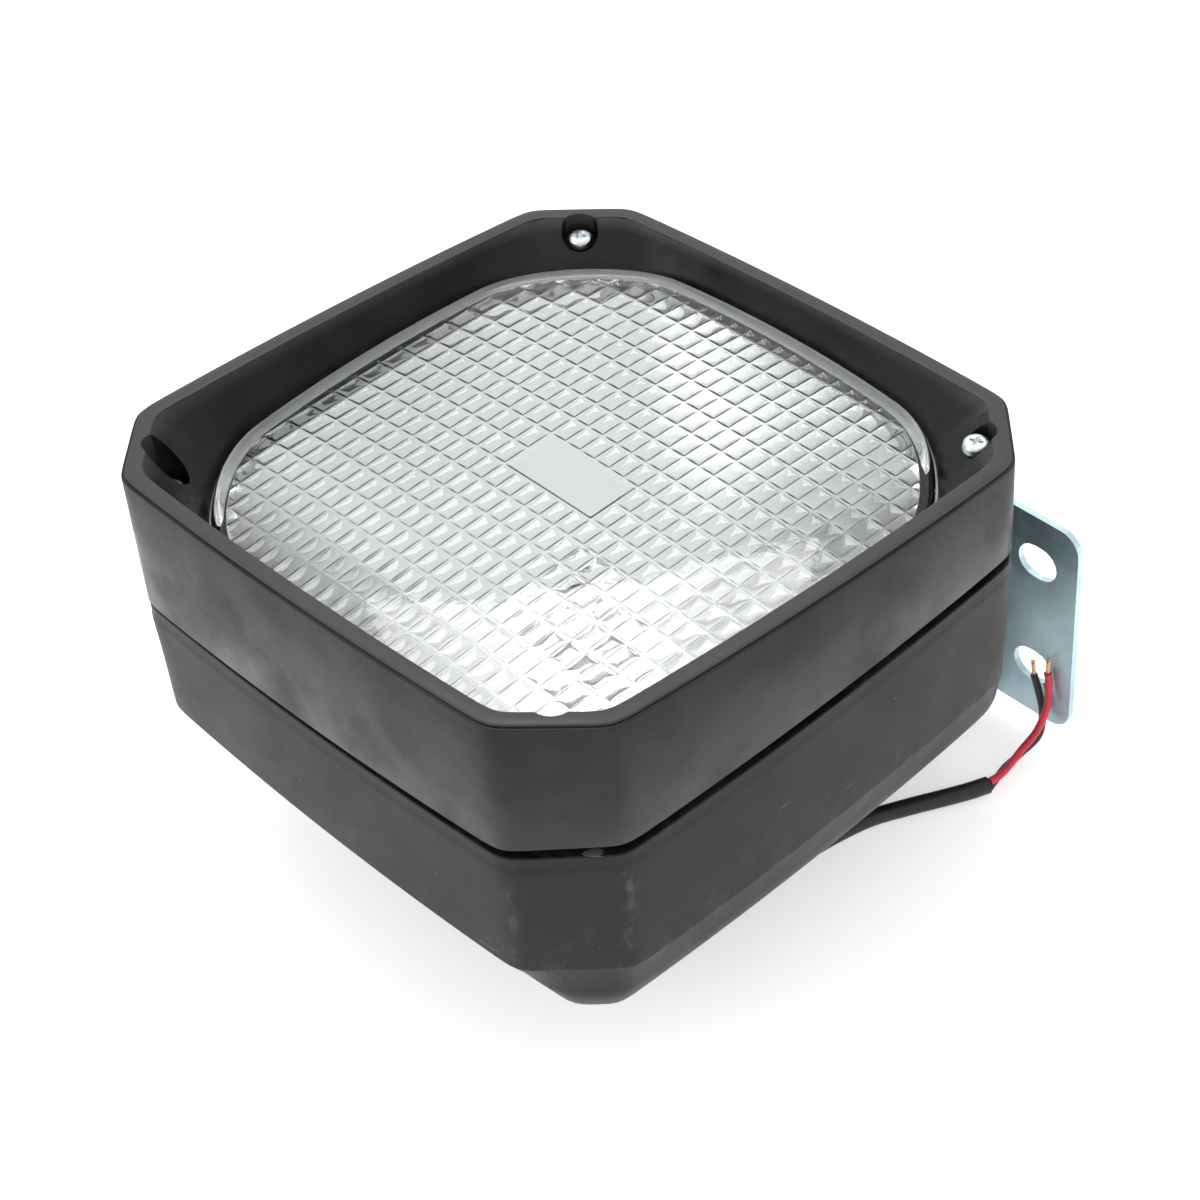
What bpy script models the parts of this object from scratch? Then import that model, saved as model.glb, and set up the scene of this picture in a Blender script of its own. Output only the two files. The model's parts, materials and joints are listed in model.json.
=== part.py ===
"""Square fog light on a tilting bracket, lying on its back.

Metres, +Z up and out of the lens. The origin is on the standing surface, below the middle of the
light and its bracket. Lamp pieces are drawn round the lamp's own centre, which is on the lamp's
axis at the height of the rim, and are hung from an empty on the tilt axis.
"""

import math

import bmesh
import bpy
import numpy as np

# Outline of the square face
HALF = 0.085  # from the axis to a side, at the ends of its chamfers
CHAMFER = 0.0197  # length that each chamfer takes off a side
CROWN = 0.0019  # how far a side bows out at its middle
GAP = 0.0003  # between pieces that touch

# Front bezel
RIM_SLOPE = (0.0331, -0.0716)  # the rim's plane rises towards +X and -Y
RIM_WIDTH = 0.00515
RIM_STEP = 0.0009  # small rabbet round the rim's outer edge
BEZEL_LOW = -0.0336
BEZEL_LOW_SLOPE = 0.0427
SKIRT = 0.0029
LIP_TOP = -0.0162  # where the sloping inner wall meets the glass
LIP_LOW = -0.0172

# Glass
LENS_HALF = 0.0712
LENS_CORNER = 0.0331
LENS_CROWN = 0.0077
LENS_CENTRE = -0.0102
LENS_DOME = 0.0040
LENS_THICK = 0.0040
LENS_FLANGE = 0.0024
LENS_LOW = -0.0213

# Rear housing
WALL = 0.0027
SPIGOT_INSET = SKIRT + 0.0004
SPIGOT_TOP = -0.02565
LEDGE = 0.0023
SHOULDER = -0.0353
SHOULDER_SLOPE = 0.027
CREASE = -0.0723
CREASE_INSET = 0.0010
PAN_LOW = -0.1041
PAN_CHAMFER = 0.0128
PAN_SIDE_EXTRA = 0.0047  # the pan is narrower across Y than across X
PAN_STEPS = ((0.0043, -0.0850), (0.0085, -0.0922), (0.0136, -0.0978), (0.0204, -0.1020), (0.0289, PAN_LOW))

# Bezel screws and their inserts
SCREW_AT = 0.0692
SCREW_SEAT = -0.01125
SCREW_SEAT_SLOPE = 0.0369
SCREW_LENGTH = 0.0287  # under the head
SCREW_RADIUS = 0.00175
HEAD_RADIUS = 0.0034
HEAD_HEIGHT = 0.0024
POCKET_RADIUS = 0.0049
COLUMN_RADIUS = 0.0048
COLUMN_TOP = -0.0180
COLUMN_LOW = -0.0600
INSERT_RADIUS = 0.0029
INSERT_LENGTH = 0.0090

# Reflector and bulb
BOWL_TOP = -0.0242
BOWL_DEPTH = 0.0500
BOWL_THICK = 0.0011
NECK_RADIUS = 0.0120
SEAT_RADIUS = 0.0200
SEAT_LOW = -0.0800
BULB_FLANGE_RADIUS = 0.0170
BULB_FLANGE = 0.0020
BULB_RADIUS = 0.0055
BULB_TOP = -0.0460
CLIP_WIRE = 0.0007
CLIP_HALF = 0.0105
CLIP_PIVOT_Y = -0.0190
CLIP_END_Y = 0.0170

# Bracket and tilt pivot
PLATE = 0.0018
FOOT_Y = 0.0952  # the foot plate's inner face
FOOT_HALF = 0.0820
FOOT_TOP = -0.0478
FOOT_LOW = -0.1156
FOOT_CORNER = 0.0062
SLOT_X = 0.0691
SLOT_Z = (-0.0626, -0.0989)
SLOT_LENGTH = 0.0125
SLOT_WIDTH = 0.0105
ARM_HALF = 0.0520
BEND = 0.0040  # outer radius of the bend from the arm to the leg
FLOOR = -0.12325
LEG_HALF = 0.0340
LEG_END = -0.0320
PIVOT_Z = -0.11305
BOSS_RADIUS = 0.0072
BOSS_HALF = 0.0145
EAR_RADIUS = 0.0064
EAR_HALF = 0.0080
BOLT_RADIUS = 0.0030
BOLT_HEAD = 0.0040
BOLT_FLATS = 0.0100
BOLT_END = 0.0250
WASHER_RADIUS = 0.0060
WASHER = 0.0012
BUSH_RADIUS = 0.0047
RUNNING = 0.00015

# Cable
GLAND_X = 0.0330
GLAND_END = 0.0410
SHEATH_RADIUS = 0.00235
CORE_RADIUS = 0.00104
STRIPPED_RADIUS = 0.0006

# Where the lamp's centre stands in the world
AXIS_Y = -(FOOT_Y + PLATE - HALF - CROWN) / 2
LAMP_AT = np.array((0.0, AXIS_Y, -FLOOR))
PIVOT_AT = LAMP_AT + (0.0, 0.0, PIVOT_Z)

# Route of the cable, in the lamp's coordinates, chosen by hand
SHEATH_ROUTE = (
    (0.0422, 0.0000, -0.11305),
    (0.0462, 0.0004, -0.11340),
    (0.0505, 0.0030, -0.1153),
    (0.0545, 0.0092, -0.1186),
    (0.0566, 0.0180, -0.12072),
    (0.0585, 0.0290, -0.12072),
    (0.0612, 0.0398, -0.12072),
    (0.0655, 0.0490, -0.12072),
    (0.0700, 0.0575, -0.12072),
    (0.0736, 0.0645, -0.12072),
    (0.0760, 0.0701, -0.12072),
)
RED_ROUTE = (
    (0.0762, 0.0706, -0.1197),
    (0.0767, 0.0745, -0.1196),
    (0.0762, 0.0795, -0.1191),
    (0.0758, 0.0838, -0.1180),
    (0.0766, 0.0890, -0.1140),
    (0.0770, 0.0923, -0.1069),
    (0.0762, 0.0934, -0.0995),
    (0.0757, 0.0934, -0.0965),
)
BLACK_ROUTE = (
    (0.0762, 0.0706, -0.12200),
    (0.0752, 0.0750, -0.12204),
    (0.0744, 0.0790, -0.12200),
    (0.0750, 0.0848, -0.1203),
    (0.0764, 0.0901, -0.1166),
    (0.0750, 0.0930, -0.1112),
    (0.0729, 0.0935, -0.1047),
    (0.0711, 0.0935, -0.1000),
)
RED_TIP = (0.0755, 0.0936, -0.0915)
BLACK_TIP = (0.0705, 0.0936, -0.0951)
FEED_ROUTE = (
    (0.0000, 0.0000, -0.0960),
    (0.0010, -0.0080, -0.0975),
    (0.0060, -0.0240, -0.0955),
    (0.0180, -0.0290, -0.0950),
    (0.0290, -0.0180, -0.0960),
    (0.0330, -0.0060, -0.0965),
    (0.0330, -0.0016, -0.0986),
)
EARTH_ROUTE = (
    (0.0205, 0.0205, -0.0826),
    (0.0290, 0.0220, -0.0840),
    (0.0345, 0.0180, -0.0900),
    (0.0340, 0.0070, -0.0955),
    (0.0330, 0.0016, -0.0986),
)


def material(name, colour, roughness, metallic=0.0, alpha=1.0):
    made = bpy.data.materials.new(name)
    made.use_nodes = True
    shader = made.node_tree.nodes["Principled BSDF"]
    shader.inputs["Base Color"].default_value = (*colour, 1.0)
    shader.inputs["Roughness"].default_value = roughness
    shader.inputs["Metallic"].default_value = metallic
    shader.inputs["Alpha"].default_value = alpha
    return made


def zinc(name):
    return material(name, (0.62, 0.66, 0.70), 0.30, 1.0)


def black_plastic(name):
    return material(name, (0.030, 0.030, 0.031), 0.45)


# Meshes


def mesh_from(points, faces):
    mesh = bpy.data.meshes.new("shape")
    mesh.from_pydata([tuple(p) for p in points], [], faces)
    work = bmesh.new()
    work.from_mesh(mesh)
    bmesh.ops.recalc_face_normals(work, faces=work.faces)
    work.to_mesh(mesh)
    work.free()
    mesh.shade_smooth()
    mesh.set_sharp_from_angle(angle=math.radians(32))
    return mesh


def loft(rings, joined=False):
    """A skin through rings of equal length. Its ends are capped, or joined to each other."""
    count, size = len(rings), len(rings[0])
    faces = []
    for i in range(count if joined else count - 1):
        lower, upper = i * size, (i + 1) % count * size
        for j in range(size):
            after = (j + 1) % size
            faces.append((lower + j, lower + after, upper + after, upper + j))
    if not joined:
        faces.append(tuple(range(size)))
        faces.append(tuple(range((count - 1) * size, count * size)))
    return mesh_from(np.concatenate(rings), faces)


def prism(outline, low, high, along):
    """An outline of (first, second) coordinates carried along the axis named by its number."""
    ends = [np.insert(np.array(outline, float), along, value, axis=1) for value in (low, high)]
    return loft(ends)


def circle(radius, sides, centre=(0.0, 0.0), turn=0.0):
    angles = np.arange(sides) * math.tau / sides + turn
    return np.stack((centre[0] + radius * np.cos(angles), centre[1] + radius * np.sin(angles)), axis=1)


def arc(centre, radius, start, end, steps=5):
    angles = np.radians(np.linspace(start, end, steps + 1))
    return [(centre[0] + radius * math.cos(a), centre[1] + radius * math.sin(a)) for a in angles]


def turned(profile, sides, at=(0.0, 0.0)):
    """A solid of revolution about a vertical line. The profile is (radius, height), first to last."""
    rings = []
    for radius, height in profile:
        ring = circle(radius, sides, at)
        rings.append(np.column_stack((ring, np.full(sides, height))))
    return rings


def smooth_route(route, spacing):
    """Evenly spaced points on a Catmull-Rom curve through the route's own points."""
    route = np.array(route)
    ends = np.vstack((2 * route[0] - route[1], route, 2 * route[-1] - route[-2]))
    fine = []
    for a, b, c, d in zip(ends, ends[1:], ends[2:], ends[3:]):
        for t in np.linspace(0, 1, 24, endpoint=False):
            bend = (2 * a - 5 * b + 4 * c - d) * t**2 + (3 * b - a - 3 * c + d) * t**3
            fine.append(0.5 * (2 * b + (c - a) * t + bend))
    fine = np.array([*fine, route[-1]])
    lengths = np.insert(np.cumsum(np.linalg.norm(np.diff(fine, axis=0), axis=1)), 0, 0.0)
    steps = np.linspace(0, lengths[-1], max(3, round(lengths[-1] / spacing) + 1))
    return np.stack([np.interp(steps, lengths, fine[:, i]) for i in range(3)], axis=1)


def tube_rings(points, radius, sides):
    """Rings square to a path that stays in one upright plane."""
    points = np.array(points, float)
    ahead = np.gradient(points, axis=0)
    ahead /= np.linalg.norm(ahead, axis=1)[:, None]
    side = np.array((0.0, 1.0, 0.0))
    rings = []
    for point, forward in zip(points, ahead):
        up = np.cross(forward, side)
        turn = circle(radius, sides)
        rings.append(point + turn[:, :1] * side + turn[:, 1:] * up)
    return rings


# Objects


def place(name, mesh, look, parent, offset):
    piece = bpy.data.objects.new(name, mesh)
    mesh.materials.append(look)
    bpy.context.scene.collection.objects.link(piece)
    piece.parent = parent
    piece.location = offset
    return piece


def helper(mesh, parent, offset):
    shape = bpy.data.objects.new("helper", mesh)
    bpy.context.scene.collection.objects.link(shape)
    shape.parent = parent
    shape.location = offset
    shape.hide_render = True
    shape.display_type = "WIRE"
    return shape


def combine(piece, operation, meshes):
    """Adds or cuts each mesh, given in the piece's own coordinates."""
    for mesh in meshes:
        boolean = piece.modifiers.new(operation.lower(), "BOOLEAN")
        boolean.operation = operation
        boolean.solver = "EXACT"
        boolean.object = helper(mesh, piece.parent, piece.location)


def cable(name, route, radius, look, parent, offset):
    """A round cable through hand-chosen points, as a curve with a bevel and filled caps."""
    points = smooth_route(route, radius * 4)
    curve = bpy.data.curves.new(name, "CURVE")
    curve.dimensions = "3D"
    curve.bevel_depth = radius
    curve.bevel_resolution = 2
    curve.use_fill_caps = True
    spline = curve.splines.new("POLY")
    spline.points.add(len(points) - 1)
    for target, point in zip(spline.points, points):
        target.co = (*point, 1.0)
    return place(name, curve, look, parent, offset)


# Outlines of the lamp


def angles_of(sides):
    return np.arange(sides) * math.tau / sides


def octagon(sides, inset, crown=CROWN, chamfer=CHAMFER, extra_y=0.0):
    """The crowned square with cut corners, moved in by the inset, as x and y."""
    angles = angles_of(sides)
    cos, sin = np.abs(np.cos(angles)), np.abs(np.sin(angles))
    flat = HALF - CHAMFER
    reach = []
    for along, across, half in ((cos, sin, HALF - inset), (sin, cos, HALF - inset - extra_y)):
        bow = crown * (across / flat) ** 2 + 1e-9
        reach.append((np.sqrt(along**2 + 4 * bow * (half + crown)) - along) / (2 * bow))
    corner = (2 * HALF - chamfer - math.sqrt(2) * inset - extra_y) / (cos + sin)
    radius = np.minimum(np.minimum(*reach), corner)
    return np.stack((radius * np.cos(angles), radius * np.sin(angles)), axis=1)


def lens_outline(sides, offset=0.0, scale=1.0):
    """The glass's outline: a square with round corners and bowed sides, as x and y."""
    fine = np.radians(np.linspace(0, 90, 40))
    core = LENS_HALF - LENS_CORNER
    quarter = core + LENS_CORNER * np.stack((np.cos(fine), np.sin(fine)), axis=1)
    side = np.stack((np.full(20, LENS_HALF), np.linspace(0, core, 20, endpoint=False)), axis=1)
    points = np.vstack((side, quarter, side[::-1, ::-1]))
    unit = points / LENS_HALF
    bow = LENS_CROWN * (1 - unit[:, ::-1] ** 2) * unit**3
    points = points + bow
    bearing = np.arctan2(points[:, 1], points[:, 0])
    reach = np.hypot(points[:, 0], points[:, 1])
    angles = angles_of(sides)
    folded = np.arctan2(np.abs(np.sin(angles)), np.abs(np.cos(angles)))
    radius = (np.interp(folded, bearing, reach) + offset) * scale
    return np.stack((radius * np.cos(angles), radius * np.sin(angles)), axis=1)


def at_height(ring, height):
    heights = height(ring[:, 0], ring[:, 1]) if callable(height) else np.full(len(ring), height)
    return np.column_stack((ring, heights))


def rim_height(x, y):
    return RIM_SLOPE[0] * x + RIM_SLOPE[1] * y


def below_rim(x, y):
    return rim_height(x, y) - RIM_STEP


def bezel_low(x, y):
    return BEZEL_LOW + BEZEL_LOW_SLOPE * x


def shoulder(x, y):
    return SHOULDER + SHOULDER_SLOPE * x


def corners():
    return [(sx * SCREW_AT, sy * SCREW_AT) for sx, sy in ((1, 1), (-1, 1), (-1, -1), (1, -1))]


def screw_seat(at):
    return SCREW_SEAT + SCREW_SEAT_SLOPE * at[0]


def post(at, radius, low, high, sides=24):
    return loft(turned(((radius, low), (radius, high)), sides, at))


# Pieces of the lamp


def make_bezel(parent, offset):
    sides = 96
    rings = (
        at_height(octagon(sides, 0), bezel_low),
        at_height(octagon(sides, 0), below_rim),
        at_height(octagon(sides, RIM_STEP), below_rim),
        at_height(octagon(sides, RIM_STEP), rim_height),
        at_height(octagon(sides, RIM_WIDTH, crown=CROWN * 1.1), rim_height),
        at_height(lens_outline(sides), LIP_TOP),
        at_height(lens_outline(sides), LIP_LOW),
        at_height(octagon(sides, SKIRT), LIP_LOW),
        at_height(octagon(sides, SKIRT), bezel_low),
    )
    bezel = place("front_bezel", loft(rings, joined=True), black_plastic("bezel"), parent, offset)
    above = 0.014
    cuts = []
    for at in corners():
        seat = screw_seat(at)
        cuts.append(post(at, POCKET_RADIUS, seat, above, 32))
        cuts.append(post(at, SCREW_RADIUS + GAP, LIP_LOW - 0.001, seat + 0.001, 16))
    combine(bezel, "DIFFERENCE", cuts)


def make_lens(parent, offset):
    sides = 48
    rings = [
        at_height(lens_outline(sides, -0.0040), LENS_LOW),
        at_height(lens_outline(sides, LENS_FLANGE), LENS_LOW),
        at_height(lens_outline(sides, LENS_FLANGE), LIP_LOW - GAP),
        at_height(lens_outline(sides, -0.0005), LIP_LOW - GAP),
        at_height(lens_outline(sides, -0.0005), LIP_TOP + 0.0003),
        at_height(lens_outline(sides, -0.0020), LIP_TOP + 0.0018),
    ]
    inner = []
    for scale in (0.88, 0.70, 0.50, 0.30, 0.12):
        height = LENS_CENTRE - LENS_DOME * scale**2
        rings.append(at_height(lens_outline(sides, 0, scale), height))
        inner.append(at_height(lens_outline(sides, -0.0030, scale), height - LENS_THICK))
    inner.insert(0, at_height(lens_outline(sides, -0.0050), LENS_LOW + 0.0030))
    rings = rings + inner[::-1]
    look = material("glass", (0.90, 0.93, 0.94), 0.05, alpha=0.35)
    # The first ring is the foot of the inner face, so the skin closes on itself there.
    top = len(rings) - len(inner)
    outer, under = rings[:top], rings[top:]
    place("lens", loft(under + outer), look, parent, offset)


def ring_piece(name, sides, out, into, low, high, look, parent, offset):
    rings = (
        at_height(lens_outline(sides, out), low),
        at_height(lens_outline(sides, out), high),
        at_height(lens_outline(sides, into), high),
        at_height(lens_outline(sides, into), low),
    )
    place(name, loft(rings, joined=True), look, parent, offset)


def bowl_ring(sides, share, thickness, height):
    """A ring of the bowl: square like the glass at its mouth, round at its neck."""
    square = lens_outline(sides, -0.0045, share)
    round_one = circle(share * LENS_HALF, sides)
    mix = share**1.5
    ring = square * mix + round_one * (1 - mix)
    reach = np.hypot(ring[:, 0], ring[:, 1])[:, None]
    return at_height(ring * (reach + thickness) / reach, height)


def make_reflector(parent, offset):
    sides = 48
    low = BOWL_TOP - BOWL_THICK
    shares = (1.0, 0.92, 0.80, 0.66, 0.52, 0.38, 0.26, NECK_RADIUS / LENS_HALF)
    depth = [BOWL_TOP - BOWL_DEPTH * (1 - share**2) for share in shares]
    inside = [bowl_ring(sides, share, 0, z) for share, z in zip(shares, depth)]
    outside = [bowl_ring(sides, share, BOWL_THICK, z - BOWL_THICK / 2) for share, z in zip(shares, depth)]
    outside[0][:, 2] = low
    neck = SEAT_LOW + BOWL_THICK
    rings = [at_height(lens_outline(sides, 0.0020), low), at_height(lens_outline(sides, 0.0020), BOWL_TOP)]
    rings += inside
    rings.append(at_height(circle(NECK_RADIUS, sides), SEAT_LOW))
    rings.append(at_height(circle(SEAT_RADIUS, sides), SEAT_LOW))
    rings.append(at_height(circle(SEAT_RADIUS, sides), neck))
    rings.append(at_height(circle(NECK_RADIUS + BOWL_THICK, sides), neck))
    rings += outside[:0:-1]
    rings.append(outside[0])
    look = material("mirror_coat", (0.90, 0.90, 0.91), 0.08, 1.0)
    reflector = place("reflector", loft(rings, joined=True), look, parent, offset)
    lugs = []
    for side in (-1, 1):
        xs = sorted((side * 0.0145, side * 0.0172))
        box = [(xs[0], CLIP_PIVOT_Y - 0.0020), (xs[1], CLIP_PIVOT_Y - 0.0020)]
        box += [(xs[1], CLIP_PIVOT_Y + 0.0100), (xs[0], CLIP_PIVOT_Y + 0.0100)]
        lugs.append(prism(box, SEAT_LOW - 0.0055, SEAT_LOW + 0.0005, 2))
    tab = [(0.0130, 0.0130), (0.0270, 0.0210), (0.0240, 0.0270), (0.0100, 0.0170)]
    lugs.append(prism(tab, SEAT_LOW, neck, 2))
    combine(reflector, "UNION", lugs)


def make_bulb(parent, offset):
    flange_top = SEAT_LOW - GAP
    flange_low = flange_top - BULB_FLANGE
    shoulder_z = -0.0700
    base = (
        (0.0080, flange_low - 0.0058),
        (0.0080, flange_low),
        (BULB_FLANGE_RADIUS, flange_low),
        (BULB_FLANGE_RADIUS, flange_top),
        (0.0090, flange_top),
        (0.0090, shoulder_z),
    )
    look = material("bulb_metal", (0.72, 0.71, 0.68), 0.35, 1.0)
    place("bulb_base", loft(turned(base, 32)), look, parent, offset)
    low = shoulder_z + GAP
    glass = [(BULB_RADIUS * 0.8, low), (BULB_RADIUS, low + 0.0030), (BULB_RADIUS, BULB_TOP - BULB_RADIUS)]
    for turn in (30, 55, 75):
        glass.append(
            (
                BULB_RADIUS * math.cos(math.radians(turn)),
                BULB_TOP - BULB_RADIUS + BULB_RADIUS * math.sin(math.radians(turn)),
            )
        )
    quartz = material("quartz", (0.95, 0.96, 0.97), 0.03, alpha=0.4)
    place("bulb_glass", loft(turned(glass, 24)), quartz, parent, offset)
    terminal = ((0.0024, -0.0943), (0.0024, flange_low - 0.0058 - GAP))
    tin = material("feed_tin", (0.75, 0.73, 0.70), 0.35, 1.0)
    place("feed_terminal", loft(turned(terminal, 16)), tin, parent, offset)


def make_clip(parent, offset, pivot):
    """A hairpin of wire. Its open ends turn on the reflector's lugs."""
    height = SEAT_LOW - GAP - BULB_FLANGE - GAP - CLIP_WIRE
    corner = 0.0020
    hook = 0.0142
    half_path = [(hook, CLIP_PIVOT_Y), (CLIP_HALF + corner, CLIP_PIVOT_Y)]
    half_path += arc((CLIP_HALF + corner, CLIP_PIVOT_Y + corner), corner, 270, 180, 3)
    half_path += [(CLIP_HALF, y) for y in (-0.008, 0.004)]
    half_path += arc((CLIP_HALF - corner, CLIP_END_Y - corner), corner, 0, 90, 3)
    path = half_path + [(-x, y) for x, y in half_path[::-1]]
    curve = bpy.data.curves.new("bulb_clip", "CURVE")
    curve.dimensions = "3D"
    curve.bevel_depth = CLIP_WIRE
    curve.bevel_resolution = 2
    curve.use_fill_caps = True
    spline = curve.splines.new("POLY")
    spline.points.add(len(path) - 1)
    for target, (x, y) in zip(spline.points, path):
        target.co = (x, y - pivot[1], height - pivot[2], 1.0)
    hinge = bpy.data.objects.new("clip_axis", None)
    bpy.context.scene.collection.objects.link(hinge)
    hinge.parent = parent
    hinge.location = offset + np.array(pivot)
    place("bulb_clip", curve, material("spring_steel", (0.60, 0.60, 0.60), 0.3, 1.0), hinge, (0, 0, 0))


def make_leads(parent, offset):
    red = material("feed_red", (0.55, 0.03, 0.04), 0.45)
    black = material("earth_black", (0.03, 0.03, 0.03), 0.45)
    cable("feed_lead", FEED_ROUTE, CORE_RADIUS, red, parent, offset)
    cable("earth_lead", EARTH_ROUTE, CORE_RADIUS, black, parent, offset)
    at = (0.0215, 0.0205)
    washer = turned(((0.0032, SEAT_LOW - 0.0003 - 0.0009), (0.0032, SEAT_LOW - 0.0003)), 16, at)
    look = material("earth_tin", (0.75, 0.73, 0.70), 0.35, 1.0)
    place("earth_terminal", loft(washer), look, parent, offset)


def make_housing(parent, offset):
    sides = 48
    crease = CREASE_INSET
    outer = [at_height(octagon(sides, inset, chamfer=PAN_CHAMFER, extra_y=PAN_SIDE_EXTRA), z)
             for inset, z in PAN_STEPS[::-1]]
    outer += [
        at_height(octagon(sides, crease), CREASE),
        at_height(octagon(sides, 0), shoulder),
        at_height(octagon(sides, SPIGOT_INSET), shoulder),
        at_height(octagon(sides, SPIGOT_INSET), SPIGOT_TOP),
    ]
    mouth = lens_outline(sides, -0.0022)
    inside_spigot = SPIGOT_INSET + WALL
    inner = [
        at_height(mouth, SPIGOT_TOP),
        at_height(mouth, SPIGOT_TOP - LEDGE),
        at_height(octagon(sides, inside_spigot), SPIGOT_TOP - LEDGE),
        at_height(octagon(sides, inside_spigot), SHOULDER - 0.0045),
        at_height(octagon(sides, WALL), SHOULDER - 0.0075),
        at_height(octagon(sides, crease + WALL), CREASE),
    ]
    for inset, z in PAN_STEPS:
        ring = octagon(sides, inset + WALL, chamfer=PAN_CHAMFER, extra_y=PAN_SIDE_EXTRA)
        inner.append(at_height(ring, z + WALL))
    housing = place("rear_housing", loft(outer + inner), black_plastic("housing"), parent, offset)
    additions, cuts = [], []
    for at in corners():
        additions.append(post(at, COLUMN_RADIUS, COLUMN_LOW, COLUMN_TOP))
        cuts.append(post(at, INSERT_RADIUS + GAP, COLUMN_TOP - INSERT_LENGTH - 0.001, COLUMN_TOP + 0.001))
        tip = screw_seat(at) - SCREW_LENGTH
        cuts.append(post(at, SCREW_RADIUS + 2 * GAP, tip - 0.003, COLUMN_TOP - INSERT_LENGTH, 16))
    top = PAN_LOW + 0.0010
    block = [(-BOSS_RADIUS, PIVOT_Z), (BOSS_RADIUS, PIVOT_Z), (BOSS_RADIUS, top), (-BOSS_RADIUS, top)]
    additions.append(prism(block, -BOSS_HALF, BOSS_HALF, 0))
    additions.append(prism(circle(BOSS_RADIUS, 32, (0, PIVOT_Z)), -BOSS_HALF, BOSS_HALF, 0))
    bore = circle(BUSH_RADIUS + GAP, 32, (0, PIVOT_Z))
    cuts.append(prism(bore, -BOSS_HALF - 0.001, BOSS_HALF + 0.001, 0))
    cuts.append(post((GLAND_X, 0), 0.0042, PAN_LOW - 0.001, PAN_LOW + WALL + 0.001))
    combine(housing, "UNION", additions)
    combine(housing, "DIFFERENCE", cuts)


def make_screws(parent, offset):
    hole = SCREW_RADIUS + GAP
    low, high = COLUMN_TOP - INSERT_LENGTH + 0.0003, COLUMN_TOP - 0.0003
    sleeve = ((hole, low), (INSERT_RADIUS, low), (INSERT_RADIUS, high), (hole, high))
    for number, at in enumerate(corners(), 1):
        head = screw_seat(at) + GAP
        tip = screw_seat(at) - SCREW_LENGTH
        profile = (
            (SCREW_RADIUS * 0.6, tip),
            (SCREW_RADIUS, tip + 0.0012),
            (SCREW_RADIUS, head),
            (HEAD_RADIUS, head),
            (HEAD_RADIUS, head + HEAD_HEIGHT * 0.55),
            (HEAD_RADIUS * 0.86, head + HEAD_HEIGHT * 0.86),
            (HEAD_RADIUS * 0.5, head + HEAD_HEIGHT),
        )
        screw = loft(turned(profile, 20, at))
        place(f"bezel_screw_{number}", screw, zinc(f"screw_{number}"), parent, offset)
        brass = material(f"brass_{number}", (0.72, 0.52, 0.22), 0.35, 1.0)
        place(f"insert_{number}", loft(turned(sleeve, 20, at), joined=True), brass, parent, offset)


def make_gland(parent, offset):
    """A rubber elbow through the pan's floor. It lets the cable out along the tilt axis."""
    inner_top = PAN_LOW + WALL + 0.0020
    profile = (
        (0.0058, inner_top),
        (0.0058, PAN_LOW + WALL + GAP),
        (0.0039, PAN_LOW + WALL + GAP),
        (0.0039, PAN_LOW - GAP),
        (0.0058, PAN_LOW - GAP),
        (0.0058, PAN_LOW - 0.0020),
        (0.0042, PAN_LOW - 0.0024),
    )
    look = material("gland", (0.02, 0.02, 0.02), 0.7)
    gland = place("cable_gland", loft(turned(profile, 24, (GLAND_X, 0))), look, parent, offset)
    bend = PAN_LOW - PIVOT_Z - 0.0030
    path = [(GLAND_X, 0, PAN_LOW - 0.0018)]
    path += [(x, 0, z) for x, z in arc((GLAND_X + bend, PIVOT_Z + bend), bend, 180, 270, 5)]
    path.append((GLAND_END, 0, PIVOT_Z))
    combine(gland, "UNION", [loft(tube_rings(path, 0.0038, 20))])


# Pieces of the bracket


def foot_outline():
    """Half of the foot plate and arm as (x, z), from the arm's end up to the top edge's middle."""
    fillet = 0.0030
    low_corner = (FOOT_HALF - FOOT_CORNER, FOOT_LOW + FOOT_CORNER)
    top_corner = (FOOT_HALF - FOOT_CORNER, FOOT_TOP - FOOT_CORNER)
    outline = [(ARM_HALF, FLOOR + BEND)]
    outline += arc((ARM_HALF + fillet, FOOT_LOW - fillet), fillet, 180, 90, 4)
    outline += arc(low_corner, FOOT_CORNER, 270, 360, 6)
    outline += arc(top_corner, FOOT_CORNER, 0, 90, 6)
    return outline


def leg_outline():
    """Half of the leg as (x, y), from the bend to the tongue's end."""
    tongue = BOSS_HALF + 0.0004 + PLATE
    corner = 0.0060
    outline = [(ARM_HALF, FOOT_Y + PLATE - BEND + 0.0002), (ARM_HALF, 0.084)]
    outline += [(LEG_HALF, 0.050), (LEG_HALF, 0.026), (tongue, 0.013)]
    outline += arc((tongue - corner, LEG_END + corner), corner, 0, -90, 4)
    return outline


def both_sides(half):
    return half + [(-x, other) for x, other in half[::-1]]


def slot(centre):
    radius = SLOT_WIDTH / 2
    reach = SLOT_LENGTH / 2 - radius
    right = arc((centre[0] + reach, centre[1]), radius, -90, 90, 8)
    left = arc((centre[0] - reach, centre[1]), radius, 90, 270, 8)
    return right + left


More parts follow.
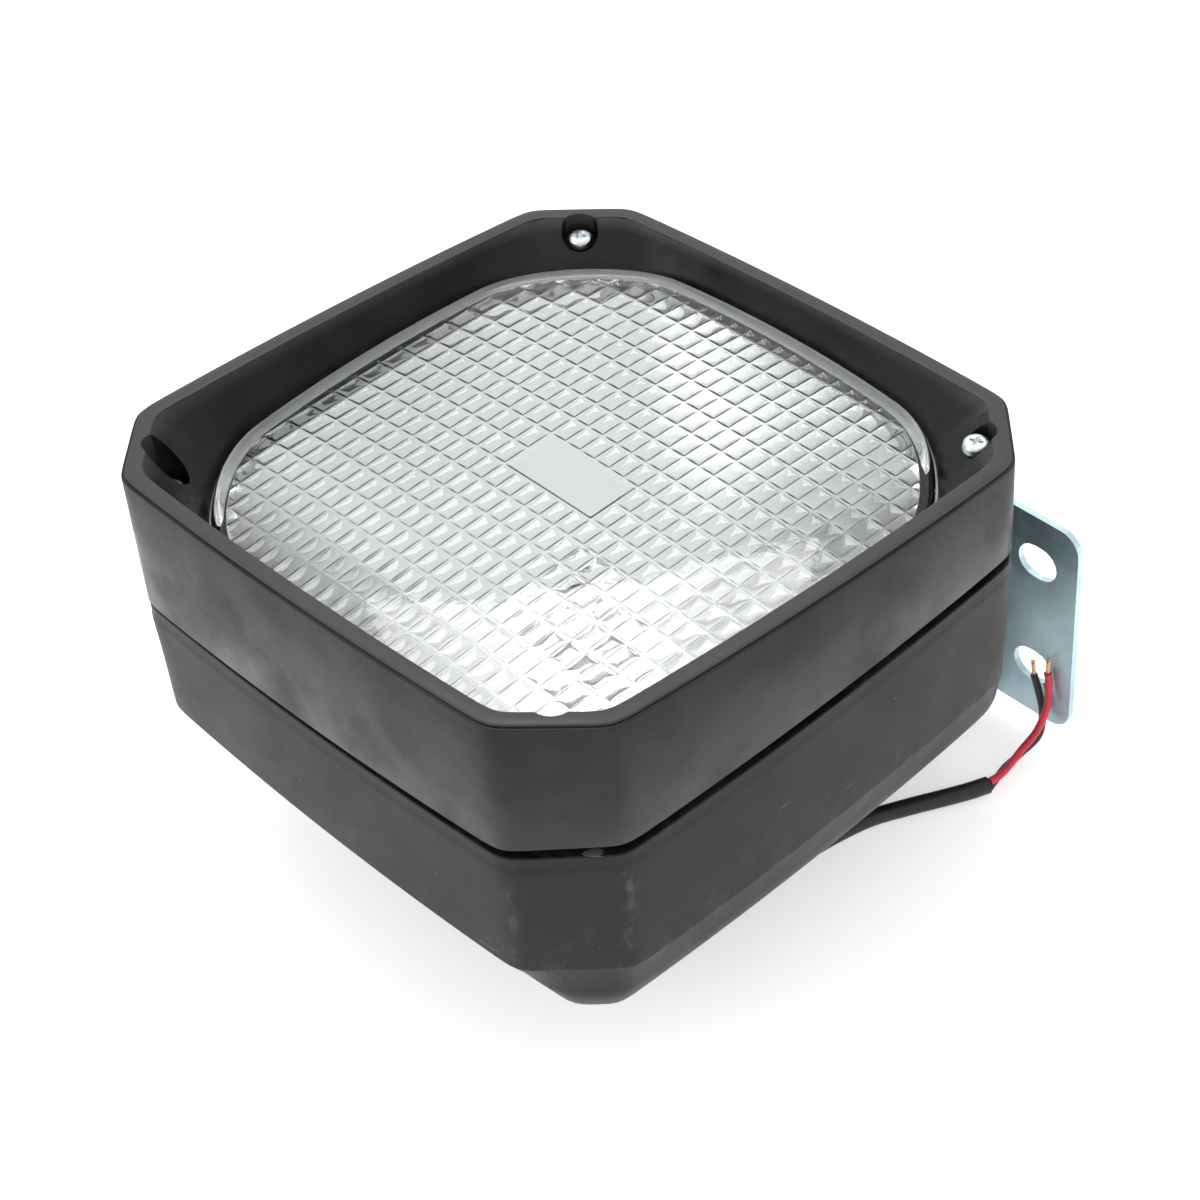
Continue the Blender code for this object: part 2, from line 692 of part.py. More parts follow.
def make_bracket(parent, offset):
    foot = prism(both_sides(foot_outline()), FOOT_Y, FOOT_Y + PLATE, 1)
    bracket = place("bracket", foot, zinc("bracket_zinc"), parent, offset)
    centre = (FOOT_Y + PLATE - BEND, FLOOR + BEND)
    bend = arc(centre, BEND, 6, -96, 8) + arc(centre, BEND - PLATE, -96, 6, 8)
    leg = prism(both_sides(leg_outline()), FLOOR, FLOOR + PLATE, 2)
    parts = [prism(bend, -ARM_HALF, ARM_HALF, 0), leg]
    inner = BOSS_HALF + 0.0004
    ear = [(-EAR_HALF, FLOOR + PLATE / 2)]
    ear += [(EAR_HALF, FLOOR + PLATE / 2), (EAR_HALF, FLOOR + PLATE + 0.0015)]
    ear += arc((0, PIVOT_Z), EAR_RADIUS, 0, 180, 10)
    ear.append((-EAR_HALF, FLOOR + PLATE + 0.0015))
    cuts = [prism(slot((side * SLOT_X, z)), FOOT_Y - 0.001, FOOT_Y + PLATE + 0.001, 1)
            for side in (-1, 1) for z in SLOT_Z]
    for side in (-1, 1):
        low, high = sorted((side * inner, side * (inner + PLATE)))
        parts.append(prism(ear, low, high, 0))
    cuts.append(prism(circle(BOLT_RADIUS + GAP, 24, (0, PIVOT_Z)), -inner - 0.003, inner + 0.003, 0))
    combine(bracket, "UNION", parts)
    combine(bracket, "DIFFERENCE", cuts)


def collar(hole, out, low, high):
    """A sleeve on the tilt axis, which runs along X."""
    profile = ((out, low), (out, high), (hole, high), (hole, low))
    rings = [np.insert(circle(radius, 32, (0, PIVOT_Z)), 0, x, axis=1) for radius, x in profile]
    return loft(rings, joined=True)


def make_pivot(root, lamp, root_offset, lamp_offset):
    """Bolt, washers and nut held by the ears, and the bush that the lamp turns on."""
    ear_face = BOSS_HALF + 0.0004 + PLATE
    washer_out = ear_face + GAP + WASHER
    hex_radius = BOLT_FLATS / 2 / math.cos(math.pi / 6)
    head = (-washer_out - GAP - BOLT_HEAD, -washer_out - GAP)
    nut = (washer_out + GAP, washer_out + GAP + 0.0050)
    middle = (0, PIVOT_Z)
    shank = prism(circle(BOLT_RADIUS, 32, middle), head[1] - 0.0005, BOLT_END, 0)
    bolt = place("pivot_bolt", shank, zinc("bolt_zinc"), root, root_offset)
    combine(bolt, "UNION", [prism(circle(hex_radius, 6, middle), *head, 0)])
    hexagon = prism(circle(hex_radius, 6, middle), *nut, 0)
    nut_piece = place("pivot_nut", hexagon, zinc("nut_zinc"), root, root_offset)
    hole = prism(circle(BOLT_RADIUS + RUNNING, 32, middle), nut[0] - 0.001, nut[1] + 0.001, 0)
    combine(nut_piece, "DIFFERENCE", [hole])
    for name, side in (("washer_head", -1), ("washer_nut", 1)):
        low, high = sorted((side * (ear_face + GAP), side * washer_out))
        place(name, collar(BOLT_RADIUS + GAP, WASHER_RADIUS, low, high), zinc(name), root, root_offset)
    reach = BOSS_HALF - 0.0003
    steel = material("bush", (0.55, 0.55, 0.56), 0.4, 1.0)
    bush = collar(BOLT_RADIUS + RUNNING, BUSH_RADIUS, -reach, reach)
    place("pivot_bush", bush, steel, lamp, lamp_offset)

def make_cable(parent, offset):
    """The cable lies on the standing surface. Its two cores lean on the foot plate."""
    cable("cable_sheath", SHEATH_ROUTE, SHEATH_RADIUS, black_plastic("sheath"), parent, offset)
    copper = (0.80, 0.42, 0.26)
    for name, route, tip, colour in (
        ("red", RED_ROUTE, RED_TIP, (0.60, 0.02, 0.05)),
        ("black", BLACK_ROUTE, BLACK_TIP, (0.02, 0.02, 0.02)),
    ):
        cable(f"core_{name}", route, CORE_RADIUS, material(f"core_{name}", colour, 0.45), parent, offset)
        last, tip = np.array(route[-1]), np.array(tip)
        start = last + (tip - last) / np.linalg.norm(tip - last) * GAP
        look = material(f"copper_{name}", copper, 0.35, 1.0)
        cable(f"conductor_{name}", (start, (start + tip) / 2, tip), STRIPPED_RADIUS, look, parent, offset)


def main():
    for old in list(bpy.data.objects):
        bpy.data.objects.remove(old)
    tilt = bpy.data.objects.new("tilt_axis", None)
    bpy.context.scene.collection.objects.link(tilt)
    tilt.location = PIVOT_AT
    from_tilt = LAMP_AT - PIVOT_AT
    make_bezel(tilt, from_tilt)
    make_lens(tilt, from_tilt)
    seal = material("seal", (0.66, 0.67, 0.66), 0.6)
    ring_piece("lens_gasket", 48, 0.0022, -0.0025, BOWL_TOP + GAP, LENS_LOW - GAP, seal, tilt, from_tilt)
    make_reflector(tilt, from_tilt)
    make_bulb(tilt, from_tilt)
    make_clip(tilt, from_tilt, (0.0, CLIP_PIVOT_Y, SEAT_LOW - 2 * GAP - BULB_FLANGE - CLIP_WIRE))
    make_leads(tilt, from_tilt)
    make_housing(tilt, from_tilt)
    make_screws(tilt, from_tilt)
    make_gland(tilt, from_tilt)
    make_bracket(None, LAMP_AT)
    make_pivot(None, tilt, LAMP_AT, from_tilt)
    make_cable(None, LAMP_AT)


main()
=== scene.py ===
"""Looks of the square fog light: fine shells, fluted glass, zinc, rubber and copper round the CAD frame."""

import json
import math

import bmesh
import bpy
import numpy as np
from mathutils import Matrix, Vector


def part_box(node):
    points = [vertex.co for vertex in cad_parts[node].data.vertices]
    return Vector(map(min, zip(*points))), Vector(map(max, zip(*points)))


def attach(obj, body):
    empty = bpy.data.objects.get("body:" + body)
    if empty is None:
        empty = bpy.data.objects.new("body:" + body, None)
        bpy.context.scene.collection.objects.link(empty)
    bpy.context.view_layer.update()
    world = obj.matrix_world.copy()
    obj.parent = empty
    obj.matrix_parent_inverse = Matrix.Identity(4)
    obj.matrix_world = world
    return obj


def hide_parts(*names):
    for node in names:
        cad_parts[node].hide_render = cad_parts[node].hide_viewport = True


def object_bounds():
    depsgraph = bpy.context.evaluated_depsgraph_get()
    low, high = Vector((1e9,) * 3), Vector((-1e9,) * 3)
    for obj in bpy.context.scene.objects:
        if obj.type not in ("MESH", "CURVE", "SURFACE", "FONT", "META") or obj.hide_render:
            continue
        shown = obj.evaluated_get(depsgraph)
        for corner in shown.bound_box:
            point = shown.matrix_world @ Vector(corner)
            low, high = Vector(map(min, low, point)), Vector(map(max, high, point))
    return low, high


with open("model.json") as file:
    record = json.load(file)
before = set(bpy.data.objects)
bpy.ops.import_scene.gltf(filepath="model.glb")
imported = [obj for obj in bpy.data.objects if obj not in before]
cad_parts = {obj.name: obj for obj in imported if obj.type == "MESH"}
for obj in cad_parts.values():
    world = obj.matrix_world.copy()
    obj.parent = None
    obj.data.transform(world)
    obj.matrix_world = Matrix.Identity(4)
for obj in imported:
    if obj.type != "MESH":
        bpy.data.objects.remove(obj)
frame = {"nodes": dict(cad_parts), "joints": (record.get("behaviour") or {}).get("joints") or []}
CAD_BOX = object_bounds()

# The lamp's centre: on its axis, at the height of the rim's middle. The tilt axis is below it.
BEZEL_LOW_CORNER, BEZEL_HIGH_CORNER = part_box("front_bezel")
AXIS_Y = (BEZEL_LOW_CORNER.y + BEZEL_HIGH_CORNER.y) / 2
TILT = next(joint for joint in frame["joints"] if joint["name"] == "tilt")
PIVOT_Z = -0.11305
LAMP_AT = np.array((0.0, AXIS_Y, TILT["pos_m"][2] - PIVOT_Z))

# Outline of the square face, as in the CAD
CROWN = 0.0019
HALF = BEZEL_HIGH_CORNER.x - CROWN
CHAMFER = 0.0197
RIM_SLOPE = (0.0331, -0.0716)
RIM_WIDTH = 0.00515
RIM_STEP = 0.0009
BEZEL_LOW = -0.0336
BEZEL_LOW_SLOPE = 0.0427
SKIRT = 0.0029
LIP_TOP = -0.0162
LIP_LOW = -0.0172
LENS_HALF = 0.0712
LENS_CORNER = 0.0331
LENS_CROWN = 0.0077
LENS_CENTRE = -0.0102
LENS_DOME = 0.0040
LENS_THICK = 0.0040
LENS_FLANGE = 0.0024
LENS_LOW = -0.0213
WALL = 0.0027
SPIGOT_INSET = SKIRT + 0.0004
SPIGOT_TOP = -0.02565
LEDGE = 0.0023
SHOULDER = -0.0353
SHOULDER_SLOPE = 0.027
SHOULDER_LIP = 0.0044
CREASE = -0.0723
CREASE_INSET = 0.0010
PAN_LOW = -0.1041
PAN_CHAMFER = 0.0128
PAN_SIDE_EXTRA = 0.0047
WALL_EDGES = (37.6, 52.4)
PAN_STEPS = (
    (0.0043, -0.0850),
    (0.0085, -0.0922),
    (0.0136, -0.0978),
    (0.0204, -0.1020),
    (0.0289, PAN_LOW),
)
SCREW_AT = 0.0692
SCREW_SEAT = -0.01125
SCREW_SEAT_SLOPE = 0.0369
SCREW_LENGTH = 0.0287
SCREW_RADIUS = 0.00175
HEAD_RADIUS = 0.0034
HEAD_HEIGHT = 0.0024
HEAD_SIDE = 0.0011
POCKET_RADIUS = 0.0049
BOSS_RADIUS = 0.0072
BOSS_HALF = 0.0145
BOSS_BORE = 0.0050
GLAND_X = 0.0330
GLAND_HOLE = 0.0042
OVERCUT = 0.0010

# Flutes of the glass
FLUTE_ROW = 0.00775
FLUTE_STEP = 0.00513
FLUTE_DEPTH = 0.00026
FLUTE_STEP_IN = 0.00007
RIB_ALONG = 0.00028
RIB_ACROSS = 0.00012

# Camera: a long lens, from the front right and above
CAMERA_FROM = np.array((4.92161, -4.14147, 5.24848)) * HALF
CAMERA_AZIMUTH = -40.5606
CAMERA_ELEVATION = 42.4495
CAMERA_ROLL = -4.8882
CAMERA_LENS = 88.12
FLOOR_REACH = 3.0

# Route of the cable, in the lamp's coordinates, as in the CAD
SHEATH_RADIUS = 0.00235
CORE_RADIUS = 0.00104
STRIPPED_RADIUS = 0.0006
SHEATH_ROUTE = (
    (0.0422, 0.0000, -0.11305),
    (0.0462, 0.0004, -0.11340),
    (0.0505, 0.0030, -0.1153),
    (0.0545, 0.0092, -0.1186),
    (0.0566, 0.0180, -0.12072),
    (0.0585, 0.0290, -0.12072),
    (0.0612, 0.0398, -0.12072),
    (0.0655, 0.0490, -0.12072),
    (0.0700, 0.0575, -0.12072),
    (0.0736, 0.0645, -0.12072),
    (0.0760, 0.0701, -0.12072),
)
RED_ROUTE = (
    (0.0762, 0.0706, -0.1197),
    (0.0767, 0.0745, -0.1196),
    (0.0762, 0.0795, -0.1191),
    (0.0758, 0.0838, -0.1180),
    (0.0766, 0.0890, -0.1140),
    (0.0770, 0.0923, -0.1069),
    (0.0762, 0.0934, -0.0995),
    (0.0757, 0.0934, -0.0965),
)
BLACK_ROUTE = (
    (0.0762, 0.0706, -0.12200),
    (0.0752, 0.0750, -0.12204),
    (0.0744, 0.0790, -0.12200),
    (0.0750, 0.0848, -0.1203),
    (0.0764, 0.0901, -0.1166),
    (0.0750, 0.0930, -0.1112),
    (0.0729, 0.0935, -0.1047),
    (0.0711, 0.0935, -0.1000),
)
RED_TIP = (0.0755, 0.0936, -0.0915)
BLACK_TIP = (0.0705, 0.0936, -0.0951)


# Mesh helpers


def link(piece):
    bpy.context.scene.collection.objects.link(piece)
    return piece


def mesh_from(points, faces, sharp=30):
    mesh = bpy.data.meshes.new("shape")
    mesh.from_pydata([tuple(p) for p in points], [], faces)
    work = bmesh.new()
    work.from_mesh(mesh)
    bmesh.ops.recalc_face_normals(work, faces=work.faces)
    work.to_mesh(mesh)
    work.free()
    mesh.shade_smooth()
    mesh.set_sharp_from_angle(angle=math.radians(sharp))
    return mesh


def loft(rings, joined=False, sharp=30):
    """A skin through rings of equal length. Its ends are capped, or joined to each other."""
    count, size = len(rings), len(rings[0])
    faces = []
    for i in range(count if joined else count - 1):
        lower, upper = i * size, (i + 1) % count * size
        for j in range(size):
            after = (j + 1) % size
            faces.append((lower + j, lower + after, upper + after, upper + j))
    if not joined:
        faces.append(tuple(range(size)))
        faces.append(tuple(range((count - 1) * size, count * size)))
    return mesh_from(np.concatenate(rings), faces, sharp)


def circle(radius, sides, centre=(0.0, 0.0)):
    angles = np.arange(sides) * math.tau / sides
    return np.stack((centre[0] + radius * np.cos(angles), centre[1] + radius * np.sin(angles)), axis=1)


def turned(profile, sides, at=(0.0, 0.0)):
    return [np.column_stack((circle(r, sides, at), np.full(sides, z))) for r, z in profile]


def prism(outline, low, high, along):
    return loft([np.insert(np.array(outline, float), along, value, axis=1) for value in (low, high)])


def fillet_profile(points, radius, steps=4):
    """A (distance, height) profile with its inner corners rounded."""
    points = [np.array(p, float) for p in points]
    out = [points[0]]
    for before, corner, after in zip(points, points[1:], points[2:]):
        back, ahead = before - corner, after - corner
        cut = min(radius, 0.45 * np.linalg.norm(back), 0.45 * np.linalg.norm(ahead))
        start = corner + back / np.linalg.norm(back) * cut
        end = corner + ahead / np.linalg.norm(ahead) * cut
        for t in np.linspace(0, 1, steps + 1):
            out.append((1 - t) ** 2 * start + 2 * t * (1 - t) * corner + t**2 * end)
    out.append(points[-1])
    return out


def place(name, mesh, body):
    piece = link(bpy.data.objects.new(name, mesh))
    piece.location = LAMP_AT
    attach(piece, body)
    return piece


def combine(piece, operation, meshes):
    """Adds or cuts meshes given in the lamp's coordinates, and keeps the result."""
    helpers = []
    for mesh in meshes:
        shape = link(bpy.data.objects.new("helper", mesh))
        shape.matrix_world = piece.matrix_world
        boolean = piece.modifiers.new(operation.lower(), "BOOLEAN")
        boolean.operation = operation
        boolean.solver = "EXACT"
        boolean.object = shape
        helpers.append(shape)
    bpy.context.view_layer.update()
    graph = bpy.context.evaluated_depsgraph_get()
    baked = bpy.data.meshes.new_from_object(piece.evaluated_get(graph))
    piece.modifiers.clear()
    piece.data = baked
    baked.shade_smooth()
    baked.set_sharp_from_angle(angle=math.radians(30))
    for shape in helpers:
        bpy.data.objects.remove(shape)


def smooth_route(route, count):
    """Evenly spaced points on a Catmull-Rom curve through the route's own points."""
    route = np.array(route)
    ends = np.vstack((2 * route[0] - route[1], route, 2 * route[-1] - route[-2]))
    fine = []
    for a, b, c, d in zip(ends, ends[1:], ends[2:], ends[3:]):
        for t in np.linspace(0, 1, 24, endpoint=False):
            bend = (2 * a - 5 * b + 4 * c - d) * t**2 + (3 * b - a - 3 * c + d) * t**3
            fine.append(0.5 * (2 * b + (c - a) * t + bend))
    fine = np.array([*fine, route[-1]])
    lengths = np.insert(np.cumsum(np.linalg.norm(np.diff(fine, axis=0), axis=1)), 0, 0.0)
    steps = np.linspace(0, lengths[-1], count)
    return np.stack([np.interp(steps, lengths, fine[:, i]) for i in range(3)], axis=1)


# Outlines of the lamp


def octagon(sides, inset, crown=CROWN, chamfer=CHAMFER, extra_y=0.0, rounding=100):
    """The crowned square with cut and softly rounded corners, moved in by the inset."""
    angles = np.arange(sides) * math.tau / sides
    cos, sin = np.abs(np.cos(angles)), np.abs(np.sin(angles))
    flat = HALF - CHAMFER
    reach = []
    for along, across, half in ((cos, sin, HALF - inset), (sin, cos, HALF - inset - extra_y)):
        bow = crown * (across / flat) ** 2 + 1e-9
        reach.append((np.sqrt(along**2 + 4 * bow * (half + crown)) - along) / (2 * bow))
    reach.append((2 * HALF - chamfer - math.sqrt(2) * inset - extra_y) / (cos + sin))
    reach = np.array(reach)
    least = reach.min(axis=0)
    radius = least * ((least / reach) ** rounding).sum(axis=0) ** (-1 / rounding)
    return polar(radius, angles)


def lens_reach(angles):
    """How far the glass's outline is from the axis: a square with round corners and bowed sides."""
    fine = np.radians(np.linspace(0, 90, 60))
    core = LENS_HALF - LENS_CORNER
    quarter = core + LENS_CORNER * np.stack((np.cos(fine), np.sin(fine)), axis=1)
    side = np.stack((np.full(30, LENS_HALF), np.linspace(0, core, 30, endpoint=False)), axis=1)
    points = np.vstack((side, quarter, side[::-1, ::-1]))
    unit = points / LENS_HALF
    points = points + LENS_CROWN * (1 - unit[:, ::-1] ** 2) * unit**3
    bearing = np.arctan2(points[:, 1], points[:, 0])
    folded = np.arctan2(np.abs(np.sin(angles)), np.abs(np.cos(angles)))
    return np.interp(folded, bearing, np.hypot(points[:, 0], points[:, 1]))


def polar(radius, angles):
    return np.stack((radius * np.cos(angles), radius * np.sin(angles)), axis=1)


def lens_outline(sides, offset=0.0):
    angles = np.arange(sides) * math.tau / sides
    return polar(lens_reach(angles) + offset, angles)


def at_height(ring, height):
    heights = height(ring[:, 0], ring[:, 1]) if callable(height) else np.full(len(ring), height)
    return np.column_stack((ring, heights))


def rim_height(x, y):
    return RIM_SLOPE[0] * x + RIM_SLOPE[1] * y


def corners():
    return [(sx * SCREW_AT, sy * SCREW_AT) for sx, sy in ((1, 1), (-1, 1), (-1, -1), (1, -1))]


def screw_seat(at):
    return SCREW_SEAT + SCREW_SEAT_SLOPE * at[0]


def post(at, radius, low, high, sides=48):
    return loft(turned(((radius, low), (radius, high)), sides, at))


# Materials


class Nodes:
    """Short calls for building one material's node tree."""

    def __init__(self, name, colour, roughness, metallic=0.0):
        self.material = bpy.data.materials.new(name)
        self.material.use_nodes = True
        self.tree = self.material.node_tree
        self.shader = self.tree.nodes["Principled BSDF"]
        self.set("Base Color", (*colour, 1.0))
        self.set("Roughness", roughness)
        self.set("Metallic", metallic)
        self.where = self.tree.nodes.new("ShaderNodeTexCoord").outputs["Object"]

    def set(self, socket, value):
        self.shader.inputs[socket].default_value = value

    def wire(self, output, target):
        self.tree.links.new(output, target)

    def noise(self, scale, detail=4.0, roughness=0.55, stretch=None):
        node = self.tree.nodes.new("ShaderNodeTexNoise")
        node.inputs["Scale"].default_value = scale
        node.inputs["Detail"].default_value = detail
        node.inputs["Roughness"].default_value = roughness
        self.wire(self.stretched(stretch), node.inputs["Vector"])
        return node.outputs["Fac"]

    def cells(self, scale):
        node = self.tree.nodes.new("ShaderNodeTexVoronoi")
        node.inputs["Scale"].default_value = scale
        self.wire(self.where, node.inputs["Vector"])
        return node.outputs["Distance"]

    def stretched(self, stretch):
        if stretch is None:
            return self.where
        node = self.tree.nodes.new("ShaderNodeMapping")
        node.inputs["Scale"].default_value = stretch[:3]
        node.inputs["Rotation"].default_value = [math.radians(a) for a in stretch[3:]] or (0, 0, 0)
        self.wire(self.where, node.inputs["Vector"])
        return node.outputs["Vector"]

    def span(self, value, low, high, to_low=0.0, to_high=1.0):
        node = self.tree.nodes.new("ShaderNodeMapRange")
        node.interpolation_type = "SMOOTHSTEP"
        self.wire(value, node.inputs["Value"])
        ends = {"From Min": low, "From Max": high, "To Min": to_low, "To Max": to_high}
        for socket, number in ends.items():
            node.inputs[socket].default_value = number
        return node.outputs["Result"]

    def math(self, operation, first, second):
        node = self.tree.nodes.new("ShaderNodeMath")
        node.operation = operation
        for socket, value in zip(node.inputs, (first, second)):
            if isinstance(value, (int, float)):
                socket.default_value = value
            else:
                self.wire(value, socket)
        return node.outputs["Value"]

    def attribute(self, name):
        node = self.tree.nodes.new("ShaderNodeAttribute")
        node.attribute_name = name
        return node.outputs["Fac"]

    def mix(self, amount, first, second):
        node = self.tree.nodes.new("ShaderNodeMix")
        node.data_type = "RGBA"
        self.wire(amount, node.inputs["Factor"])
        for socket, value in ((node.inputs["A"], first), (node.inputs["B"], second)):
            if isinstance(value, tuple):
                socket.default_value = (*value, 1.0)
            else:
                self.wire(value, socket)
        return node.outputs["Result"]

    def bump(self, height, strength, distance):
        node = self.tree.nodes.new("ShaderNodeBump")
        node.inputs["Strength"].default_value = strength
        node.inputs["Distance"].default_value = distance
        self.wire(height, node.inputs["Height"])
        if self.shader.inputs["Normal"].is_linked:
            self.wire(self.shader.inputs["Normal"].links[0].from_socket, node.inputs["Normal"])
        self.wire(node.outputs["Normal"], self.shader.inputs["Normal"])

    def colour(self, output):
        self.wire(output, self.shader.inputs["Base Color"])

    def rough(self, output):
        self.wire(output, self.shader.inputs["Roughness"])


def bezel_plastic():
    """Satin black moulding with a fine grain, soft smudges, a little dust, and a painted sheen: the rim's
    top face is painted a lighter grey.
    """
    nodes = Nodes("bezel_plastic", (0.014, 0.014, 0.014), 0.42)
    nodes.set("Specular IOR Level", 0.30)
    cloud = nodes.noise(26, 5, 0.6)
    mottle = nodes.span(nodes.noise(210, 3, 0.7), 0.50, 0.72)
    smudge = nodes.span(cloud, 0.40, 0.68)
    tone = nodes.mix(smudge, (0.004, 0.0042, 0.004), (0.018, 0.0182, 0.0177))
    spots = nodes.math("MULTIPLY", mottle, nodes.span(cloud, 0.5, 0.62))
    speckled = nodes.mix(spots, tone, (0.005, 0.005, 0.005))
    dust = nodes.span(nodes.cells(420), 0.055, 0.035)
    dust = nodes.math("MULTIPLY", dust, nodes.span(nodes.noise(60, 2), 0.60, 0.68))
    # Painted sheen: the rim's top face, marked in add_bezel, is painted a lighter grey for the light it
    # catches.
    speckled = nodes.mix(nodes.attribute("rim_painted_sheen"), speckled, (0.050, 0.050, 0.048))
    nodes.colour(nodes.mix(dust, speckled, (0.12, 0.12, 0.115)))
    nodes.rough(nodes.span(nodes.noise(34, 4, 0.6), 0.32, 0.68, 0.26, 0.50))
    nodes.bump(nodes.noise(2600, 2, 0.5), 0.10, 0.00006)
    nodes.bump(nodes.noise(120, 3, 0.5), 0.06, 0.0004)
    return nodes.material


def housing_plastic():
    """The same black, duller: dust flecks, short scratches and pale scuffs on its edges."""
    nodes = Nodes("housing_plastic", (0.015, 0.015, 0.0145), 0.5)
    nodes.set("Specular IOR Level", 0.30)
    cloud = nodes.noise(30, 5, 0.6)
    tone = nodes.mix(nodes.span(cloud, 0.38, 0.70), (0.003, 0.003, 0.003), (0.0125, 0.0122, 0.0115))
    patch = nodes.span(nodes.noise(24, 3), 0.45, 0.62)
    flecks = nodes.math("MULTIPLY", nodes.span(nodes.cells(330), 0.080, 0.045), patch)
    flecks = nodes.math("MULTIPLY", flecks, nodes.span(nodes.noise(160, 2), 0.50, 0.60))
    lines = []
    for turn in (35, 130):
        streak = nodes.noise(95, 2, 0.4, (1.0, 1.0, 12.0, 0, turn, 20))
        lines.append(nodes.span(streak, 0.775, 0.80))
    scratch = nodes.math("MULTIPLY", nodes.math("MAXIMUM", *lines), 0.55)
    wear = nodes.attribute("wear")
    scuff = nodes.math("MULTIPLY", wear, nodes.span(nodes.noise(240, 5, 0.7, (1, 1, 0.5)), 0.45, 0.75))
    scuff = nodes.math("MULTIPLY", scuff, 0.28)
    marks = nodes.math("MAXIMUM", nodes.math("MAXIMUM", flecks, scratch), scuff)
    nodes.colour(nodes.mix(marks, tone, (0.20, 0.197, 0.19)))
    nodes.rough(nodes.span(cloud, 0.3, 0.75, 0.42, 0.58))
    nodes.bump(nodes.noise(1900, 3, 0.6), 0.14, 0.00008)
    nodes.bump(nodes.noise(90, 4, 0.6), 0.08, 0.0006)
    return nodes.material


def zinc(base, rough):
    """Blue-passivated zinc with cloudy bands and fine rolling lines."""
    nodes = Nodes("bracket_zinc", base, rough, 0.82)
    cloud = nodes.noise(38, 4, 0.55, (1.0, 1.0, 0.45))
    deep = tuple(c * 0.72 for c in base)
    tint = nodes.mix(nodes.span(cloud, 0.35, 0.68), deep, base)
    warm = nodes.span(nodes.noise(70, 3), 0.60, 0.76, 0.0, 0.35)
    nodes.colour(nodes.mix(warm, tint, (0.78, 0.76, 0.66)))
    nodes.rough(nodes.span(nodes.noise(90, 5, 0.65), 0.3, 0.7, rough * 0.75, rough * 1.5))
    nodes.bump(nodes.noise(420, 2, 0.5, (1.0, 1.0, 0.05)), 0.05, 0.0001)
    return nodes.material


def clear_glass(name, colour, rough):
    nodes = Nodes(name, colour, rough)
    nodes.set("Transmission Weight", 1.0)
    nodes.set("IOR", 1.5)
    return nodes


def fluted_glass():
    """Pressed soda glass with a slightly uneven skin."""
    nodes = clear_glass("pressed_glass", (0.965, 0.985, 0.978), 0.03)
    nodes.bump(nodes.noise(230, 3, 0.5), 0.05, 0.0003)
    return nodes.material


def mirror_coat():
    nodes = Nodes("mirror_coat", (0.90, 0.905, 0.90), 0.2, 1.0)
    nodes.rough(nodes.span(nodes.noise(60, 3), 0.3, 0.7, 0.16, 0.28))
    nodes.bump(nodes.noise(80, 2), 0.05, 0.0006)
    return nodes.material


def rubber(name, colour, rough=0.5):
    nodes = Nodes(name, colour, rough)
    nodes.set("Specular IOR Level", 0.45)
    light = tuple(min(1.0, c * 1.25 + 0.004) for c in colour)
    nodes.colour(nodes.mix(nodes.span(nodes.noise(160, 4, 0.6), 0.35, 0.7), colour, light))
    nodes.rough(nodes.span(nodes.noise(220, 3), 0.3, 0.7, rough * 0.85, rough * 1.15))
    nodes.bump(nodes.noise(1500, 2), 0.10, 0.00006)
    return nodes.material


def metal(name, colour, rough):
    nodes = Nodes(name, colour, rough, 1.0)
    nodes.rough(nodes.span(nodes.noise(300, 4, 0.6), 0.3, 0.7, rough * 0.7, rough * 1.4))
    nodes.bump(nodes.noise(900, 2), 0.05, 0.00005)
    return nodes.material


# Camera and light


def add_camera():
    azimuth, elevation, roll = map(math.radians, (CAMERA_AZIMUTH, CAMERA_ELEVATION, CAMERA_ROLL))
    level = math.cos(elevation)
    back = Vector((level * math.cos(azimuth), level * math.sin(azimuth), math.sin(elevation)))
    right = (-back).cross(Vector((0, 0, 1))).normalized()
    up = right.cross(-back)
    rolled_right = math.cos(roll) * right + math.sin(roll) * up
    rolled_up = -math.sin(roll) * right + math.cos(roll) * up
    camera = link(bpy.data.objects.new("camera", bpy.data.cameras.new("camera")))
    stand = Matrix((rolled_right, rolled_up, back)).transposed().to_4x4()
    stand.translation = Vector(LAMP_AT + CAMERA_FROM)
    camera.matrix_world = stand
    camera.data.lens = CAMERA_LENS
    camera.data.sensor_width = 36
    camera.data.clip_start = 0.01
    bpy.context.scene.camera = camera


def add_light(name, at, size, power):
    """A soft panel that faces the lamp."""
    lamp = bpy.data.lights.new(name, "AREA")
    lamp.shape = "RECTANGLE"
    lamp.size, lamp.size_y = size
    lamp.energy = power
    holder = link(bpy.data.objects.new(name, lamp))
    holder.location = at
    holder.rotation_euler = (Vector((0, 0, 0.05)) - Vector(at)).to_track_quat("-Z", "Y").to_euler()


